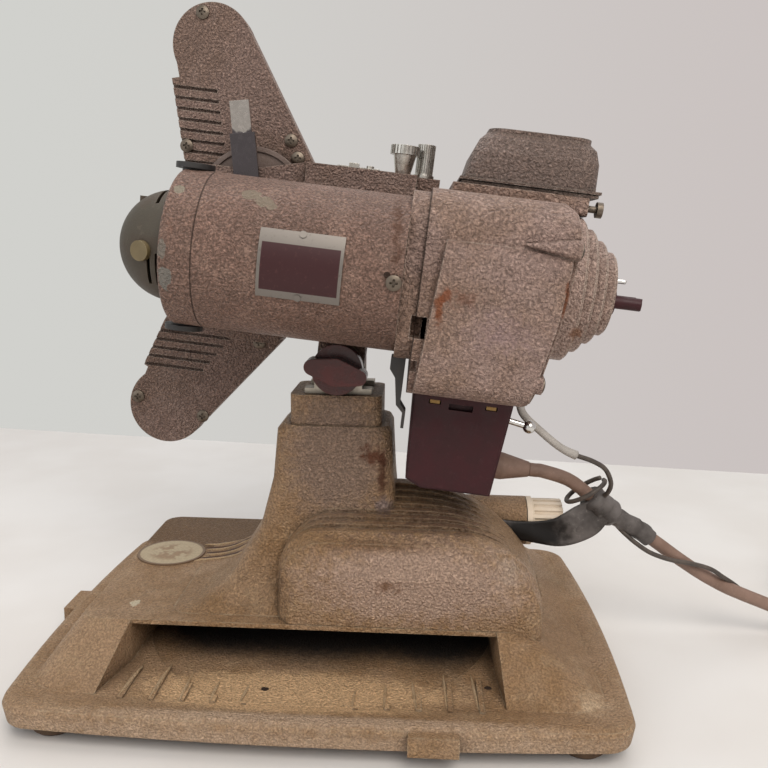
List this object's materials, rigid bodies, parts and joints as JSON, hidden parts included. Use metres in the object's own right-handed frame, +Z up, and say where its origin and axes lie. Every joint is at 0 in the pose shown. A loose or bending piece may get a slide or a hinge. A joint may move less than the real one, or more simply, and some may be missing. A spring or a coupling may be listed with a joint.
{
  "type": "movie projector",
  "caption": "Portable 8 mm movie projector: round motor tube and lamp house on a tilting head with two folding-style reel arms, on a cast base with a reel slot.",
  "frame": {"origin": "centre of the bounding box of all but the free cord, at the floor under the rubber feet", "axes": "+Z up, +X from the nose of the motor to the back of the lamp house, +Y to the side of the lens and the reels"},
  "size_m": [0.5618, 0.2591, 0.3497],
  "materials": {
    "base_paint": "hammertone enamel",
    "house_paint": "hammertone enamel",
    "tube_paint": "hammertone enamel",
    "arm_paint": "satin metallic enamel",
    "hood_paint": "satin metallic enamel",
    "dome_paint": "satin enamel",
    "badge_paint": "bare plate in worn enamel",
    "screw_steel": "tarnished nickel plate",
    "bright_steel": "nickel plate",
    "pale_metal": "cast",
    "plate_metal": "printed plate with no lettering",
    "chrome_plate": "polished",
    "tilt_bakelite": "worn bakelite",
    "box_bakelite": "worn bakelite",
    "black_plastic": "satin",
    "cream_plastic": "satin",
    "black_enamel": "gloss",
    "foot_rubber": "dull",
    "cord_rubber": "dull",
    "plug_rubber": "dull",
    "wire_cover": "dull",
    "strap_cloth": "woven tape",
    "contact_brass": "tarnished",
    "porcelain": "glazed",
    "lamp_glass": "clear",
    "lens_glass": "clear",
    "mirror_glass": "polished",
    "core_steel": "laminated",
    "winding": "varnished copper wire on a steel core",
    "fan_metal": "stamped"
  },
  "bodies": {
    "base": {"base_casting": "base_paint", "rubber_feet": "foot_rubber", "foot_screws": "screw_steel", "badge_plate": "badge_paint", "pedestal": "base_paint", "knob_tube": "base_paint", "neck_fork": "pale_metal", "tilt_bolt": "bright_steel", "cord_strap": "strap_cloth", "power_cord": "cord_rubber", "cord_coil": "cord_rubber", "mains_plug": "plug_rubber", "earth_wire": "wire_cover"},
    "levelling": {"levelling_knob": "cream_plastic"},
    "tilt_lock": {"tilt_knob": "tilt_bakelite"},
    "head": {"mechanism_casting": "arm_paint", "film_plate": "arm_paint", "motor_tube": "tube_paint", "motor_end_shield": "tube_paint", "motor_dome": "dome_paint", "oil_cap": "cream_plastic", "brush_caps": "black_plastic", "stator": "core_steel", "instruction_plate": "plate_metal", "lamp_house": "house_paint", "rear_cover": "house_paint", "loop_lever": "chrome_plate", "lamp_socket": "porcelain", "lamp": "lamp_glass", "reflector": "mirror_glass", "condenser": "lens_glass", "house_screws": "bright_steel", "socket_box": "box_bakelite", "box_contacts": "contact_brass", "under_bracket": "black_enamel", "feed_arm": "arm_paint", "feed_arm_cover": "arm_paint", "take_up_arm": "arm_paint", "take_up_cover": "arm_paint", "arm_screws": "screw_steel", "clutch_disc": "arm_paint", "top_catch": "bright_steel", "film_gate": "bright_steel", "cord_connector": "cord_rubber"},
    "motor": {"rotor": "winding", "cooling_fan": "fan_metal"},
    "feed": {"feed_spindle": "chrome_plate"},
    "take_up": {"take_up_spindle": "chrome_plate"},
    "upper_film_drive": {"upper_sprocket": "bright_steel"},
    "lower_film_drive": {"lower_sprocket": "bright_steel"},
    "lens": {"lens_barrel": "black_plastic", "lens_glass": "lens_glass"},
    "hood": {"lamp_hood": "hood_paint"},
    "hood_screw": {"thumb_screw": "bright_steel"},
    "lamp_switch": {"rear_knob": "box_bakelite"},
    "clutch": {"clutch_lever": "chrome_plate"},
    "framing": {"framing_knob": "bright_steel"},
    "speed": {"speed_knob": "bright_steel"},
    "ball_switch": {"switch_lever": "chrome_plate"}
  },
  "joints": [
    {"name": "head_tilt", "type": "hinge", "parent": "base", "child": "head", "pos_m": [0.00203, 0.0017, 0.163], "axis": [0, 1, 0], "range_deg": [-14, 1], "deforming": ["power_cord", "earth_wire"]},
    {"name": "tilt_lock_turn", "type": "hinge", "parent": "base", "child": "tilt_lock", "pos_m": [0.00203, -0.0233, 0.163], "axis": [0, 1, 0], "range_deg": [0, 120]},
    {"name": "levelling_turn", "type": "hinge", "parent": "base", "child": "levelling", "pos_m": [0.10963, 0.0192, 0.071], "axis": [1, 0, 0], "continuous": true},
    {"name": "motor_spin", "type": "hinge", "parent": "head", "child": "motor", "pos_m": [0.00751, -0.0383, 0.21511], "axis": [0.9945, 0, -0.1045], "continuous": true},
    {"name": "feed_spin", "type": "hinge", "parent": "head", "child": "feed", "pos_m": [-0.06957, 0.0417, 0.32839], "axis": [0, 1, 0], "continuous": true},
    {"name": "take_up_spin", "type": "hinge", "parent": "head", "child": "take_up", "pos_m": [-0.10016, 0.0417, 0.13302], "axis": [0, 1, 0], "continuous": true},
    {"name": "upper_sprocket_spin", "type": "hinge", "parent": "head", "child": "upper_film_drive", "pos_m": [-0.00688, 0.0417, 0.25041], "axis": [0, 1, 0], "continuous": true},
    {"name": "lower_sprocket_spin", "type": "hinge", "parent": "head", "child": "lower_film_drive", "pos_m": [-0.01388, 0.0417, 0.18378], "axis": [0, 1, 0], "continuous": true},
    {"name": "lens_focus", "type": "slide", "parent": "head", "child": "lens", "axis": [0.9945, 0, -0.1045], "range_m": [-0.012, 0.003]},
    {"name": "hood_lift", "type": "slide", "parent": "head", "child": "hood", "axis": [0.1045, 0, 0.9945], "range_m": [0, 0.04]},
    {"name": "hood_screw_turn", "type": "hinge", "parent": "head", "child": "hood_screw", "pos_m": [0.12141, 0.0017, 0.24648], "axis": [0.9945, 0, -0.1045], "continuous": true},
    {"name": "lamp_switch_turn", "type": "hinge", "parent": "head", "child": "lamp_switch", "pos_m": [0.13665, -0.0103, 0.20013], "axis": [0.9945, 0, -0.1045], "range_deg": [0, 90]},
    {"name": "clutch_swing", "type": "hinge", "parent": "head", "child": "clutch", "pos_m": [-0.04739, 0.0067, 0.24763], "axis": [0, 1, 0], "range_deg": [-25, 25]},
    {"name": "framing_turn", "type": "hinge", "parent": "head", "child": "framing", "pos_m": [0.0329, 0.0117, 0.26533], "axis": [0.1045, 0, 0.9945], "range_deg": [-60, 60]},
    {"name": "speed_turn", "type": "hinge", "parent": "head", "child": "speed", "pos_m": [0.04384, 0.0217, 0.26418], "axis": [0.1045, 0, 0.9945], "range_deg": [0, 270]},
    {"name": "ball_switch_swing", "type": "hinge", "parent": "head", "child": "ball_switch", "pos_m": [0.0861, -0.0223, 0.14009], "axis": [0, 1, 0], "range_deg": [-15, 15]}
  ],
  "couplings": [
    {"joint": "lower_sprocket_spin", "follows": "upper_sprocket_spin", "ratio": 1}
  ]
}
